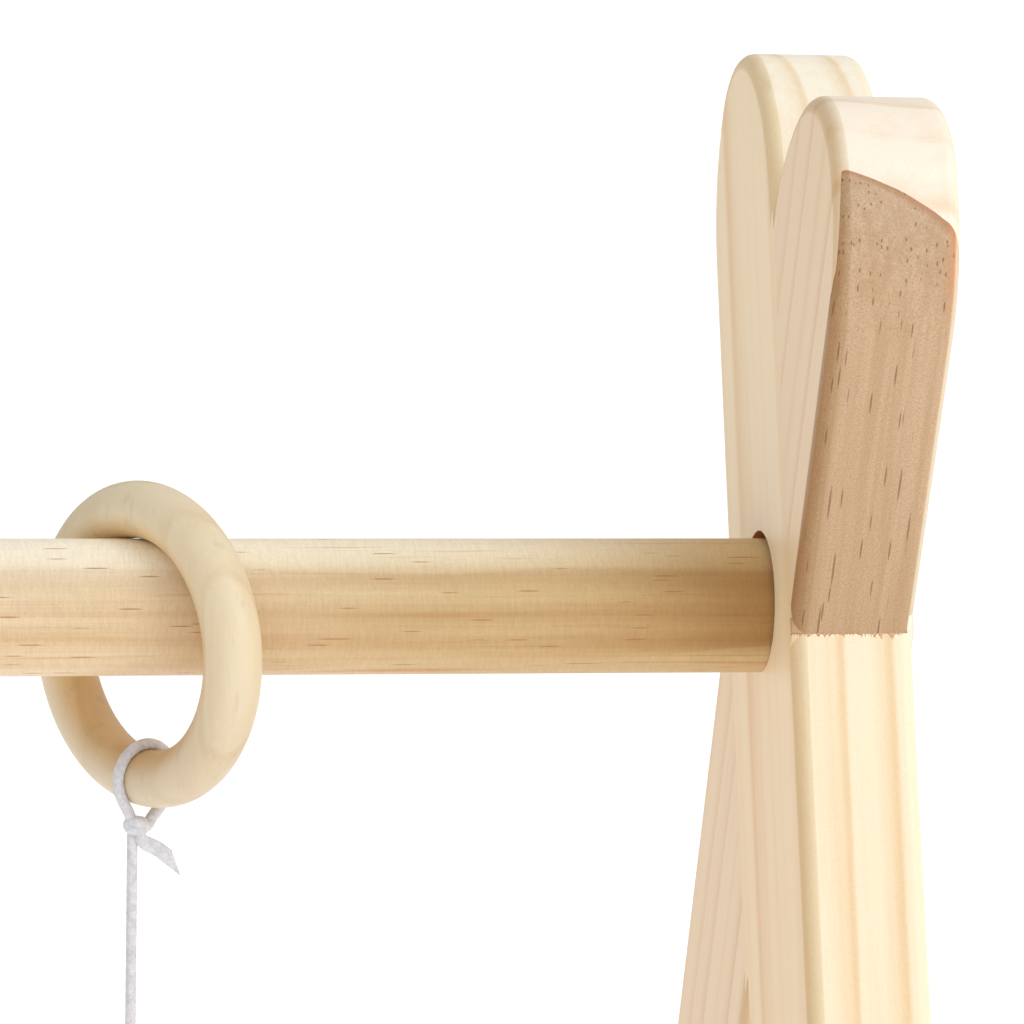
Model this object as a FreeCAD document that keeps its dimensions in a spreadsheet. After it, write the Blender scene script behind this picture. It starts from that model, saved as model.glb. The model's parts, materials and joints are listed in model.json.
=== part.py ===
"""Wooden activity play gym: two crossed-leg end frames, a dowel bar and three hanging toys.

Frame of the part: millimetres, +X along the bar, +Z up, origin on the floor under the middle
of the bar.  Each end frame is two rounded boards halved into each other.  The left end frame
is the right one turned half a turn about +Z, so both ends are made from the same two boards.
"""
import FreeCAD, Part
import Sketcher
import math
import os
from FreeCAD import Placement, Rotation, Vector

doc = FreeCAD.newDocument("activity_play_gym")

# ---------------------------------------------------------------- driving dimensions
DIMENSIONS = [
    ("inner_span", 560.0, "clear distance between the two end frames"),
    ("crossing_height", 480.0, "floor to the centre where the boards cross"),
    ("leg_width", 52.0, "board width"),
    ("leg_thickness", 22.5, "board thickness"),
    ("leg_tilt", 20.5, "board lean from vertical, degrees"),
    ("leg_rounding", 2.75, "rounding of the board edges"),
    ("ear_length_back", 107.0, "crossing centre to the tip of the board that is whole inside"),
    ("ear_length_front", 101.5, "crossing centre to the tip of the board that is whole outside"),
    ("ear_depth", 34.0, "curved end of a board, from its shoulders to its tip"),
    ("ear_tip_radius", 20.0, "tip of the curved end"),
    ("pad_thickness", 3.0, "rubber foot pad"),
    ("pad_length", 46.0, "rubber foot pad, across the board"),
    ("pad_width", 17.0, "rubber foot pad, along the bar"),
    ("bar_diameter", 25.0, "dowel"),
    ("socket_diameter", 26.5, "hole for the bar in the inner half of the crossing"),
    ("bore_rise", 1.0, "socket centre above the crossing centre"),
    ("bolt_diameter", 6.0, "M6 connector bolt"),
    ("bolt_clearance", 6.6, "bolt hole in the outer half of the crossing"),
    ("bolt_length", 30.0, "shank under the head"),
    ("head_diameter", 13.0, "bolt head"),
    ("head_height", 3.0, "bolt head"),
    ("head_hex", 4.0, "key socket across flats"),
    ("washer_diameter", 18.0, "washer"),
    ("washer_thickness", 1.5, "washer"),
    ("counterbore_diameter", 20.0, "recess for washer, head and cap plug"),
    ("counterbore_depth", 7.0, "recess for washer, head and cap plug"),
    ("insert_diameter", 10.0, "threaded insert"),
    ("insert_length", 20.0, "threaded insert"),
    ("plug_head_diameter", 28.0, "wooden cap plug"),
    ("plug_head_height", 4.0, "wooden cap plug"),
    ("plug_stem_length", 2.0, "wooden cap plug"),
    ("ring_diameter", 60.0, "wooden hanging ring, outside"),
    ("ring_tube", 10.5, "wooden hanging ring, section"),
    ("ring_rest_gap", 0.1, "running gap between ring and bar"),
    ("hanger_pitch", 166.0, "distance between hanging rings"),
    ("cord_diameter", 2.0, "braided cotton cord"),
    ("loop_gap", 0.35, "cord loop clear of the ring's section"),
    ("knot_drop", 9.2, "ring section centre to knot centre"),
    ("knot_length", 5.8, "knot, across"),
    ("knot_height", 3.6, "knot, up"),
    ("cord_offset", 2.2, "the cord leaves one end of the knot"),
    ("tail_length", 9.5, "free end above the knot's lower edge"),
    ("bead_bore", 3.5, "hole through beads and toys"),
    ("bead_small", 18.0, "round bead"),
    ("bead_medium", 27.0, "round bead"),
    ("bead_large", 35.0, "round bead"),
    ("bead_gap", 0.4, "play between neighbours on the cord"),
    ("toy_top", 340.0, "floor to the top of the uppermost bead"),
    ("end_knot_diameter", 6.5, "stopper knot under the lowest piece"),
    ("toy_ring_diameter", 72.0, "hanging wooden toy ring, outside"),
    ("toy_ring_tube", 11.0, "hanging wooden toy ring, section"),
    ("bell_diameter", 46.0, "turned wooden bell, widest"),
    ("bell_height", 54.0, "turned wooden bell"),
]
sheet = doc.addObject("Spreadsheet::Sheet", "Sizes")
for row, (alias, value, note) in enumerate(DIMENSIONS, start=1):
    sheet.set(f"A{row}", note)
    sheet.set(f"B{row}", str(value))
    sheet.setAlias(f"B{row}", alias)
doc.recompute()
S = {alias: float(getattr(sheet, alias)) for alias, value, note in DIMENSIONS}

# heights that several pieces share, as sheet expressions
BORE_HEIGHT = "(Sizes.crossing_height + Sizes.bore_rise)"
BAR_HEIGHT = f"({BORE_HEIGHT} - (Sizes.socket_diameter - Sizes.bar_diameter) / 2)"
RING_RADIUS = "((Sizes.ring_diameter - Sizes.ring_tube) / 2)"
RING_HEIGHT = (f"({BAR_HEIGHT} + Sizes.bar_diameter / 2 + Sizes.ring_rest_gap"
               f" - Sizes.ring_diameter / 2 + Sizes.ring_tube)")
LOOP_HEIGHT = f"({RING_HEIGHT} - {RING_RADIUS})"
KNOT_HEIGHT = f"({LOOP_HEIGHT} - Sizes.knot_drop)"

bar_height = (S["crossing_height"] + S["bore_rise"]
              - (S["socket_diameter"] - S["bar_diameter"]) / 2)
ring_radius = (S["ring_diameter"] - S["ring_tube"]) / 2
ring_height = (bar_height + S["bar_diameter"] / 2 + S["ring_rest_gap"]
               - S["ring_diameter"] / 2 + S["ring_tube"])
loop_height = ring_height - ring_radius
knot_height = loop_height - S["knot_drop"]

sub_parts = []


def sub_part(piece, label):
    """Names a finished piece and lists it for export."""
    piece.Label = label
    sub_parts.append(piece)
    return piece


def bind(piece, **formulas):
    """Binds properties to sheet formulas; a double underscore stands for a dot."""
    for name, formula in formulas.items():
        piece.setExpression(name.replace("__", "."), formula)
    return piece


def place(piece, x="0", y="0", z="0", rotation=None):
    """Places a piece by formulas, after an optional fixed rotation."""
    piece.Placement = Placement(Vector(), rotation or Rotation())
    return bind(piece, Placement__Base__x=x, Placement__Base__y=y, Placement__Base__z=z)


def primitive(kind, **formulas):
    return bind(doc.addObject(f"Part::{kind}", kind), **formulas)


def cut(base, tool):
    result = doc.addObject("Part::Cut", "Cut")
    result.Base = base
    result.Tool = tool
    return result


def fuse(*pieces):
    result = doc.addObject("Part::MultiFuse", "Fuse")
    result.Shapes = list(pieces)
    return result


def origin_plane(body, role):
    return next(item for item in body.Origin.OriginFeatures if item.Role == role)


# ---------------------------------------------------------------- boards of the end frames
TRENCH_WIDTHS = 3.2  # trench length in board widths


def crossing_block(body, lean):
    """Squares the rounded edges again where the other board lies against them.

    The edges are rounded once the boards are joined, so none is rounded inside the crossing.
    """
    sketch = body.newObject("Sketcher::SketchObject", "Crossing")
    sketch.AttachmentSupport = [(origin_plane(body, "YZ_Plane"), "")]
    sketch.MapMode = "FlatFace"
    half = S["leg_width"] / 2
    tilt = math.radians(S["leg_tilt"])
    near, far = half * math.tan(tilt), half / math.tan(tilt)
    near_formula = "Sizes.leg_width / 2 * tan(Sizes.leg_tilt * 1 deg)"
    far_formula = "Sizes.leg_width / 2 / tan(Sizes.leg_tilt * 1 deg)"
    corners = [(lean * half, -far), (lean * half, near), (-lean * half, far), (-lean * half, -near)]
    sides = []
    for (across, along), (next_across, next_along) in zip(corners, corners[1:] + corners[:1]):
        sides.append(sketch.addGeometry(Part.LineSegment(Vector(across, along),
                                                         Vector(next_across, next_along))))
    for side, following in zip(sides, sides[1:] + sides[:1]):
        sketch.addConstraint(Sketcher.Constraint("Coincident", side, 2, following, 1))
    heights = [f"-({far_formula})", near_formula, far_formula, f"-({near_formula})"]
    for side, (across, along), formula in zip(sides, corners, heights):
        width = sketch.addConstraint(Sketcher.Constraint("DistanceX", -1, 1, side, 1, across))
        sign = "" if across > 0 else "-"
        sketch.setExpression(f"Constraints[{width}]", f"{sign}Sizes.leg_width / 2")
        height = sketch.addConstraint(Sketcher.Constraint("DistanceY", -1, 1, side, 1, along))
        sketch.setExpression(f"Constraints[{height}]", formula)
    block = body.newObject("PartDesign::Pad", "SquareCrossing")
    block.Profile = sketch
    bind(block, Length="Sizes.leg_thickness")
    doc.recompute()
    return block


def board_outline(body, ear_length, lean):
    """Outline of one board in its own upright frame: y across, z along, crossing at the origin.

    The ear is a three-centred arch, a tip arc between two flatter side arcs.  lean is +1 when
    the ear leans to +Y and -1 when it leans to -Y; the foot is cut level.
    """
    sketch = body.newObject("Sketcher::SketchObject", "Outline")
    sketch.AttachmentSupport = [(origin_plane(body, "YZ_Plane"), "")]
    sketch.MapMode = "FlatFace"
    half = S["leg_width"] / 2
    tilt = math.radians(S["leg_tilt"])
    foot_left = -(S["crossing_height"] - S["pad_thickness"]) / math.cos(tilt) - lean * half * math.tan(tilt)
    foot_right = foot_left + 2 * lean * half * math.tan(tilt)
    tip_radius = S["ear_tip_radius"]
    tip_centre = S[ear_length] - tip_radius
    shoulder = S[ear_length] - S["ear_depth"]
    rise = tip_centre - shoulder
    side_radius = (half ** 2 + rise ** 2 - tip_radius ** 2) / (2 * (half - tip_radius))
    join = math.atan2(rise, side_radius - half)

    def arc(across, along, radius, first, last):
        circle = Part.Circle(Vector(across, along), Vector(0, 0, 1), radius)
        return sketch.addGeometry(Part.ArcOfCircle(circle, first, last))

    foot = sketch.addGeometry(Part.LineSegment(Vector(-half, foot_left), Vector(half, foot_right)))
    right = sketch.addGeometry(Part.LineSegment(Vector(half, foot_right), Vector(half, shoulder)))
    right_arc = arc(half - side_radius, shoulder, side_radius, 0, join)
    tip = arc(0, tip_centre, tip_radius, join, math.pi - join)
    left_arc = arc(side_radius - half, shoulder, side_radius, math.pi - join, math.pi)
    left = sketch.addGeometry(Part.LineSegment(Vector(-half, shoulder), Vector(-half, foot_left)))
    start, end, centre = 1, 2, 3
    add = sketch.addConstraint
    constraint = Sketcher.Constraint
    add(constraint("Coincident", foot, end, right, start))
    add(constraint("Coincident", left, end, foot, start))
    for before, after in ((right, right_arc), (right_arc, tip), (tip, left_arc), (left_arc, left)):
        add(constraint("Tangent", before, end, after, start))
    add(constraint("Vertical", right))
    add(constraint("Vertical", left))
    add(constraint("PointOnObject", tip, centre, -2))
    drop = "(Sizes.crossing_height - Sizes.pad_thickness) / cos(Sizes.leg_tilt * 1 deg)"
    lift = f"{lean} * Sizes.leg_width / 2 * tan(Sizes.leg_tilt * 1 deg)"
    shoulder_formula = f"Sizes.{ear_length} - Sizes.ear_depth"
    driven = [
        (constraint("Radius", tip, tip_radius), "Sizes.ear_tip_radius"),
        (constraint("DistanceY", -1, 1, tip, centre, tip_centre),
         f"Sizes.{ear_length} - Sizes.ear_tip_radius"),
        (constraint("DistanceY", -1, 1, right_arc, centre, shoulder), shoulder_formula),
        (constraint("DistanceY", -1, 1, left_arc, centre, shoulder), shoulder_formula),
        (constraint("DistanceX", -1, 1, foot, end, half), "Sizes.leg_width / 2"),
        (constraint("DistanceX", foot, start, -1, 1, half), "Sizes.leg_width / 2"),
        (constraint("DistanceY", foot, start, -1, 1, -foot_left), f"{drop} + {lift}"),
        (constraint("DistanceY", foot, end, -1, 1, -foot_right), f"{drop} - {lift}"),
    ]
    for rule, formula in driven:
        sketch.setExpression(f"Constraints[{add(rule)}]", formula)
    return sketch


def halving(body, lean, outer_half):
    """Cuts the half-thickness trench that takes the other board, past both of its slanting ends."""
    block = body.newObject("PartDesign::SubtractiveBox", "Halving")
    turn = Rotation(Vector(1, 0, 0), 2 * lean * S["leg_tilt"])
    length = TRENCH_WIDTHS * S["leg_width"]
    x = S["leg_thickness"] / 2 if outer_half else 0.0
    corner = turn.multVec(Vector(x, -S["leg_width"] / 2, -length / 2))
    block.Placement = Placement(corner, turn)
    bind(block, Length="Sizes.leg_thickness / 2", Width="Sizes.leg_width",
         Height=f"{TRENCH_WIDTHS} * Sizes.leg_width")
    return block


def hole_along_x(body, name, lean, diameter, start, depth, height_above_crossing):
    """Round hole along the bar, at a height above the crossing, in a board's own frame."""
    hole = body.newObject("PartDesign::SubtractiveCylinder", name)
    tilt = math.radians(S["leg_tilt"])
    centre = Vector(start, -lean * math.sin(tilt) * height_above_crossing,
                    math.cos(tilt) * height_above_crossing)
    hole.Placement = Placement(centre, Rotation(Vector(0, 1, 0), 90))
    bind(hole, Radius=f"Sizes.{diameter} / 2", Height=depth)
    return hole


def board(label, ear_length, lean, whole_inside, side):
    """One board.  side is +1 for the right end frame and -1 for the left one."""
    body = doc.addObject("PartDesign::Body", "Board")
    outline = board_outline(body, ear_length, lean)
    pad = body.newObject("PartDesign::Pad", "Plank")
    pad.Profile = outline
    bind(pad, Length="Sizes.leg_thickness")
    doc.recompute()
    rim = [f"Edge{number}" for number, edge in enumerate(pad.Shape.Edges, start=1)
           if edge.BoundBox.XLength < 0.01 and edge.BoundBox.ZMax > S["leg_width"]]
    rounding = body.newObject("PartDesign::Fillet", "Rounding")
    rounding.Base = (pad, rim)
    bind(rounding, Radius="Sizes.leg_rounding")
    doc.recompute()
    crossing_block(body, lean)
    halving(body, lean, outer_half=whole_inside)
    bar_rise = bar_height - S["crossing_height"]
    if whole_inside:
        hole_along_x(body, "BarSocket", lean, "socket_diameter", 0.0,
                     "Sizes.leg_thickness", S["bore_rise"])
    else:
        hole_along_x(body, "BoltHole", lean, "bolt_clearance", 0.0, "Sizes.leg_thickness", bar_rise)
        hole_along_x(body, "Counterbore", lean, "counterbore_diameter",
                     S["leg_thickness"] - S["counterbore_depth"], "Sizes.counterbore_depth", bar_rise)
    frame_turn = Rotation(Vector(0, 0, 1), 0 if side > 0 else 180)
    tilt = Rotation(Vector(1, 0, 0), -lean * S["leg_tilt"])
    place(body, x=f"{side} * Sizes.inner_span / 2", z="Sizes.crossing_height",
          rotation=frame_turn * tilt)
    return sub_part(body, label)


def foot_pad(label, lean, side):
    """Rubber pad stuck under the level foot of a board."""
    pad = primitive("Box", Length="Sizes.pad_width", Width="Sizes.pad_length", Height="Sizes.pad_thickness")
    reach = "Sizes.crossing_height * tan(Sizes.leg_tilt * 1 deg)"
    place(pad, x=f"{side} * (Sizes.inner_span + Sizes.leg_thickness) / 2 - Sizes.pad_width / 2",
          y=f"{-side * lean} * {reach} - Sizes.pad_length / 2")
    return sub_part(pad, label)


SIDES = {"right": 1, "left": -1}
BACK_EAR, FRONT_EAR = 1, -1
for side_name, side in SIDES.items():
    board(f"leg_{side_name}_inner", "ear_length_back", BACK_EAR, True, side)
    board(f"leg_{side_name}_outer", "ear_length_front", FRONT_EAR, False, side)
    foot_pad(f"foot_pad_{side_name}_inner", BACK_EAR, side)
    foot_pad(f"foot_pad_{side_name}_outer", FRONT_EAR, side)


# ---------------------------------------------------------------- bar and its fixings
def along_x(side):
    """Rotation that points a piece's own +Z outwards along the bar."""
    return Rotation(Vector(0, 1, 0), 90 * side)


BAR_END = "(Sizes.inner_span + Sizes.leg_thickness) / 2"
SEAT = "(Sizes.inner_span / 2 + Sizes.leg_thickness - Sizes.counterbore_depth)"

bar = primitive("Cylinder", Radius="Sizes.bar_diameter / 2", Height=f"2 * {BAR_END}")
place(bar, x=f"-{BAR_END}", z=BAR_HEIGHT, rotation=along_x(1))
for side in SIDES.values():
    insert_bore = primitive("Cylinder", Radius="Sizes.insert_diameter / 2", Height="Sizes.insert_length")
    place(insert_bore, x=f"{side} * {BAR_END}", z=BAR_HEIGHT, rotation=along_x(-side))
    bolt_run = primitive("Cylinder", Radius="Sizes.bolt_clearance / 2", Height="1.7 * Sizes.insert_length")
    place(bolt_run, x=f"{side} * {BAR_END}", z=BAR_HEIGHT, rotation=along_x(-side))
    bar = cut(cut(bar, insert_bore), bolt_run)
sub_part(bar, "hanging_bar")


def insert(label, side):
    """Threaded insert sunk in the end of the bar."""
    body = primitive("Cylinder", Radius="Sizes.insert_diameter / 2", Height="Sizes.insert_length")
    place(body, x=f"{side} * {BAR_END}", z=BAR_HEIGHT, rotation=along_x(-side))
    thread = primitive("Cylinder", Radius="Sizes.bolt_diameter / 2", Height="Sizes.insert_length")
    place(thread, x=f"{side} * {BAR_END}", z=BAR_HEIGHT, rotation=along_x(-side))
    return sub_part(cut(body, thread), label)


def bolt(label, side):
    """Connector bolt: shank through the board into the insert, head on the washer."""
    under_head = f"{side} * ({SEAT} + Sizes.washer_thickness)"
    shank = primitive("Cylinder", Radius="Sizes.bolt_diameter / 2", Height="Sizes.bolt_length")
    place(shank, x=under_head, z=BAR_HEIGHT, rotation=along_x(-side))
    head = primitive("Cylinder", Radius="Sizes.head_diameter / 2", Height="Sizes.head_height")
    place(head, x=under_head, z=BAR_HEIGHT, rotation=along_x(side))
    key = primitive("Prism", Circumradius="Sizes.head_hex / 2 / cos(30 deg)", Height="Sizes.head_height")
    key.Polygon = 6
    place(key, x=f"{side} * ({SEAT} + Sizes.washer_thickness + Sizes.head_height * 0.3)", z=BAR_HEIGHT,
          rotation=along_x(side))
    return sub_part(cut(fuse(shank, head), key), label)


def washer(label, side):
    disc = primitive("Cylinder", Radius="Sizes.washer_diameter / 2", Height="Sizes.washer_thickness")
    place(disc, x=f"{side} * {SEAT}", z=BAR_HEIGHT, rotation=along_x(side))
    hole = primitive("Cylinder", Radius="Sizes.bolt_clearance / 2", Height="Sizes.washer_thickness")
    place(hole, x=f"{side} * {SEAT}", z=BAR_HEIGHT, rotation=along_x(side))
    return sub_part(cut(disc, hole), label)


def turned(label, profile, x, z, rotation=None):
    """Turned piece: a closed (radius, height) outline revolved about the piece's own +Z.

    A profile item is a point, or a pair (middle point, end point) for an arc from the last point.
    """
    body = doc.addObject("PartDesign::Body", "Turned")
    sketch = body.newObject("Sketcher::SketchObject", "Profile")
    sketch.AttachmentSupport = [(origin_plane(body, "XZ_Plane"), "")]
    sketch.MapMode = "FlatFace"
    here = Vector(*profile[0])
    first = here
    for item in profile[1:]:
        if isinstance(item[0], tuple):
            middle, target = Vector(*item[0]), Vector(*item[1])
            sketch.addGeometry(Part.Arc(here, middle, target))
        else:
            target = Vector(*item)
            sketch.addGeometry(Part.LineSegment(here, target))
        here = target
    sketch.addGeometry(Part.LineSegment(here, first))
    revolution = body.newObject("PartDesign::Revolution", "Turning")
    revolution.Profile = sketch
    revolution.ReferenceAxis = (sketch, ["V_Axis"])
    revolution.Angle = 360
    place(body, x=x, z=z, rotation=rotation)
    return sub_part(body, label)


def cap_plug(label, side):
    """Wooden plug with a low domed head that covers the bolt."""
    stem = S["counterbore_diameter"] / 2 - 0.05
    head = S["plug_head_diameter"] / 2
    dome, rim, length = S["plug_head_height"], 1.6, S["plug_stem_length"]
    dome_radius = (head ** 2 + (dome - rim) ** 2) / (2 * (dome - rim))
    half_way = dome - dome_radius + math.sqrt(dome_radius ** 2 - (head / 2) ** 2)
    profile = [(0, -length), (stem, -length), (stem, 0), (head, 0), (head, rim),
               ((head / 2, half_way), (0, dome))]
    return turned(label, profile, x=f"{side} * (Sizes.inner_span / 2 + Sizes.leg_thickness)",
                  z=BAR_HEIGHT, rotation=along_x(side))


for side_name, side in SIDES.items():
    insert(f"insert_{side_name}", side)
    bolt(f"bolt_{side_name}", side)
    washer(f"washer_{side_name}", side)
    cap_plug(f"cap_plug_{side_name}", side)


# ---------------------------------------------------------------- hangers
YAWS = {"left": 28.0, "middle": -33.0, "right": 34.5}  # how each ring hangs, turned about the vertical


def hanging_ring(label, x, yaw):
    """Wooden ring over the bar; yaw turns its axis from +X towards +Y."""
    ring = primitive("Torus", Radius1=RING_RADIUS, Radius2="Sizes.ring_tube / 2")
    upright = Rotation(Vector(0, 0, 1), yaw) * Rotation(Vector(0, 1, 0), 90)
    place(ring, x=x, z=RING_HEIGHT, rotation=upright)
    return sub_part(ring, label)


def loop_and_knot(label, x, yaw):
    """Cord loop round the ring's lowest section, the knot that ties it and its free tail."""
    radius = S["ring_tube"] / 2 + S["loop_gap"] + S["cord_diameter"] / 2
    drop = S["knot_drop"]
    spread = math.acos(radius / drop)
    bend = primitive("Torus", Radius1="Sizes.ring_tube / 2 + Sizes.loop_gap + Sizes.cord_diameter / 2",
                     Radius2="Sizes.cord_diameter / 2")
    bend.Angle3 = 360 - 2 * math.degrees(spread)
    bend.Placement = Placement(Vector(), Rotation(Vector(1, 0, 0), 90)
                               * Rotation(Vector(0, 0, 1), math.degrees(spread) - 90))
    foot = Vector(0, 0, -drop)
    strands = []
    for hand in (1, -1):
        tangent_point = Vector(hand * radius * math.sin(spread), 0, -radius * math.cos(spread))
        strand = primitive("Cylinder", Radius="Sizes.cord_diameter / 2")
        strand.Height = (tangent_point - foot).Length
        strand.Placement = Placement(foot, Rotation(Vector(0, 0, 1), tangent_point - foot))
        strands.append(strand)
    knot = primitive("Cylinder", Radius="Sizes.knot_height / 2", Height="Sizes.knot_length")
    lengthwise = Rotation(Vector(0, 0, 1), -yaw) * Rotation(Vector(0, 1, 0), 90)
    knot.Placement = Placement(foot - lengthwise.multVec(Vector(0, 0, S["knot_length"] / 2)), lengthwise)
    tail = primitive("Cylinder", Radius="Sizes.cord_diameter / 2", Height="Sizes.tail_length")
    tail.Placement = Placement(foot, Rotation(Vector(0, 0, 1), -yaw) * Rotation(Vector(0, 1, 0), 130))
    whole = fuse(bend, *strands, knot, tail)
    place(whole, x=x, z=LOOP_HEIGHT, rotation=Rotation(Vector(0, 0, 1), yaw))
    print(label, "loop bend radius", round(radius, 2), "mm")
    return sub_part(whole, label)


def straight_cord(label, x, top, bottom):
    """The taut stretch of cord from the knot, through the beads, to the stopper knot."""
    cord = primitive("Cylinder", Radius="Sizes.cord_diameter / 2", Height=f"{top} - ({bottom})")
    place(cord, x=x, z=bottom)
    sub_part(cord, label)
    return cord


def drilled(solid, x, z, length):
    """A piece with the cord hole down through it."""
    bore = primitive("Cylinder", Radius="Sizes.bead_bore / 2", Height=length)
    place(bore, x=x, z=f"{z} - ({length}) / 2")
    return cut(solid, bore)


def bead(label, x, z, size):
    ball = primitive("Sphere", Radius=f"Sizes.{size} / 2")
    place(ball, x=x, z=z)
    return sub_part(drilled(ball, x, z, f"Sizes.{size}"), label)


def end_knot(label, x, top):
    knot = primitive("Sphere", Radius="Sizes.end_knot_diameter / 2")
    place(knot, x=x, z=f"{top} - Sizes.end_knot_diameter / 2")
    return sub_part(knot, label)


def toy_ring(label, x, top):
    """Wooden toy ring in line with its hanging ring, drilled down through its top section."""
    radius = "((Sizes.toy_ring_diameter - Sizes.toy_ring_tube) / 2)"
    centre = f"({top} - Sizes.toy_ring_diameter / 2)"
    ring = primitive("Torus", Radius1=radius, Radius2="Sizes.toy_ring_tube / 2")
    upright = Rotation(Vector(0, 0, 1), YAWS["right"]) * Rotation(Vector(0, 1, 0), 90)
    place(ring, x=x, z=centre, rotation=upright)
    return sub_part(drilled(ring, x, f"({centre} + {radius})", "Sizes.toy_ring_tube * 1.6"), label)


def bell(label, x, top):
    """Turned wooden bell with a waist, two grooves and a rounded mouth."""
    widest, height, bore = S["bell_diameter"] / 2, S["bell_height"], S["bead_bore"] / 2
    crown, waist, groove = 0.34 * widest, 0.62 * widest, 0.9
    grooves = [height * 0.30, height * 0.36]
    wall = 0.965 * widest
    profile = [(bore, 0), (crown, 0), ((waist * 0.86, -0.10 * height), (waist, -0.24 * height))]
    for depth in grooves:
        profile += [(waist + 0.5, -depth + groove), (waist - 0.7, -depth), (waist + 0.5, -depth - groove)]
    profile += [((0.86 * widest, -0.62 * height), (wall, -0.82 * height)),
                ((widest, -0.93 * height), (0.88 * widest, -height)), (bore, -height)]
    return turned(label, profile, x=x, z=top)


PLAY = "Sizes.bead_gap"
TOP = "Sizes.toy_top"
STATIONS = {"left": -1, "middle": 0, "right": 1}


def hang(place_name, pieces):
    """Hangs ring, loop, cord and a string of (maker, name, height formula) pieces at a station."""
    ring_x = f"{STATIONS[place_name]} * Sizes.hanger_pitch"
    cord_x = f"({ring_x} - Sizes.cord_offset)"
    hanging_ring(f"ring_{place_name}", ring_x, YAWS[place_name])
    loop_and_knot(f"loop_knot_{place_name}", ring_x, YAWS[place_name])
    level = TOP
    for maker, name, height in pieces:
        maker(f"{name}_{place_name}", cord_x, level)
        level = f"({level} - {height} - {PLAY})"
    straight_cord(f"cord_{place_name}", cord_x, f"({KNOT_HEIGHT} - Sizes.knot_height / 2 - {PLAY})",
                  f"{level}")
    end_knot(f"end_knot_{place_name}", cord_x, level)


def bead_from_top(size):
    return lambda label, x, top: bead(label, x, f"({top} - Sizes.{size} / 2)", size)


small, medium, large = (bead_from_top(size) for size in ("bead_small", "bead_medium", "bead_large"))
hang("left", [(small, "bead_top", "Sizes.bead_small"), (medium, "bead_upper", "Sizes.bead_medium"),
              (large, "bead_centre", "Sizes.bead_large"), (medium, "bead_lower", "Sizes.bead_medium"),
              (small, "bead_bottom", "Sizes.bead_small")])
hang("middle", [(small, "bead_top", "Sizes.bead_small"), (bell, "bell", "Sizes.bell_height"),
                (small, "bead_bottom", "Sizes.bead_small")])
hang("right", [(small, "bead_top", "Sizes.bead_small"), (toy_ring, "toy_ring", "Sizes.toy_ring_tube"),
               (medium, "bead_inside", "Sizes.bead_medium")])

# ---------------------------------------------------------------- checks and export
doc.recompute()
for item in doc.Objects:
    if {"Invalid", "Error"} & set(item.State):
        raise RuntimeError(f"{item.Name} ({item.Label}) failed: {item.State}")
os.makedirs("parts", exist_ok=True)
for piece in sub_parts:
    shape = piece.Shape
    if shape.isNull() or not shape.isValid() or len(shape.Solids) != 1:
        raise RuntimeError(f"{piece.Label} is not one valid solid")
    shape.exportStep(f"parts/{piece.Label}.step")
cord_section = math.pi * S["cord_diameter"] ** 2 / 4
for piece in sub_parts:
    if piece.Label.startswith("cord_"):
        length = piece.Shape.BoundBox.ZLength
        print(piece.Label, "length", round(length, 1), "volume over section times length",
              round(piece.Shape.Volume / cord_section / length, 4))
print(len(sub_parts), "sub-parts written; bar axis", bar_height, "ring centre", ring_height,
      "knot", round(knot_height, 2))
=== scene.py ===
"""Looks of the wooden play gym: pine boards and bar, pale turned rings and toys, cotton cords.

Units are metres in the part's frame: +X along the bar, -Y to the front, +Z up.
Lengths written with MM are millimetres turned into metres.
"""
import json
import math
import bpy
from mathutils import Matrix, Vector


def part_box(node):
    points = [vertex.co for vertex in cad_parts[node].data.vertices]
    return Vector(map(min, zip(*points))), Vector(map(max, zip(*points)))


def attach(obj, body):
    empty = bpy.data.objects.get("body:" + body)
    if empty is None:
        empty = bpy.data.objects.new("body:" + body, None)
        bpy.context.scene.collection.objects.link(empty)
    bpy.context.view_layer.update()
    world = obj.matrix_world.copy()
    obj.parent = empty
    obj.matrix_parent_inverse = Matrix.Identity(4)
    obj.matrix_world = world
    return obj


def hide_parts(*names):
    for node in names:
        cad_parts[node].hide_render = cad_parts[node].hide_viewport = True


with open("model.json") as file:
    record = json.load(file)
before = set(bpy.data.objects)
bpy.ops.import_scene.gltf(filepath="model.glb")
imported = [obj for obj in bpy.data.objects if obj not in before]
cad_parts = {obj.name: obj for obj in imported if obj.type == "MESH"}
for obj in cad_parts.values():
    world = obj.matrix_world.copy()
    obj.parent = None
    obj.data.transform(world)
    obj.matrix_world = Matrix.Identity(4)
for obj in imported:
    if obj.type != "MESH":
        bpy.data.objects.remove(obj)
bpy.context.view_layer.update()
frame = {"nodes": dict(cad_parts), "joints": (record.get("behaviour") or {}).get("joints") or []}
MM = 0.001
STATIONS = ("left", "middle", "right")
nodes = frame["nodes"]


def middle(name):
    low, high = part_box(name)
    return (low + high) / 2


# ---------------------------------------------------------------- places read from the frame
BAR_LOW, BAR_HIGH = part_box("hanging_bar")
BAR_AXIS_Z = (BAR_LOW.z + BAR_HIGH.z) / 2
INNER_FACE = {1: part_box("leg_right_inner")[0].x, -1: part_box("leg_left_inner")[1].x}
# The bar's axis in each end's inner face.  The boards cross 0.25 mm below it.
CROSSING = {side: Vector((INNER_FACE[side], 0, BAR_AXIS_Z)) for side in (1, -1)}
LEG_TILT = math.radians(20.5)
# Each ring's heading about the vertical, from the axis that its loop sways about.
RING_YAW = {joint["child"].split("_")[-1]: math.atan2(-joint["axis"][0], joint["axis"][1])
            for joint in frame["joints"] if joint["name"].startswith("sway")}
PIVOT = {joint["name"]: Vector(joint["pos_m"]) for joint in frame["joints"] if "pos_m" in joint}


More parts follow.
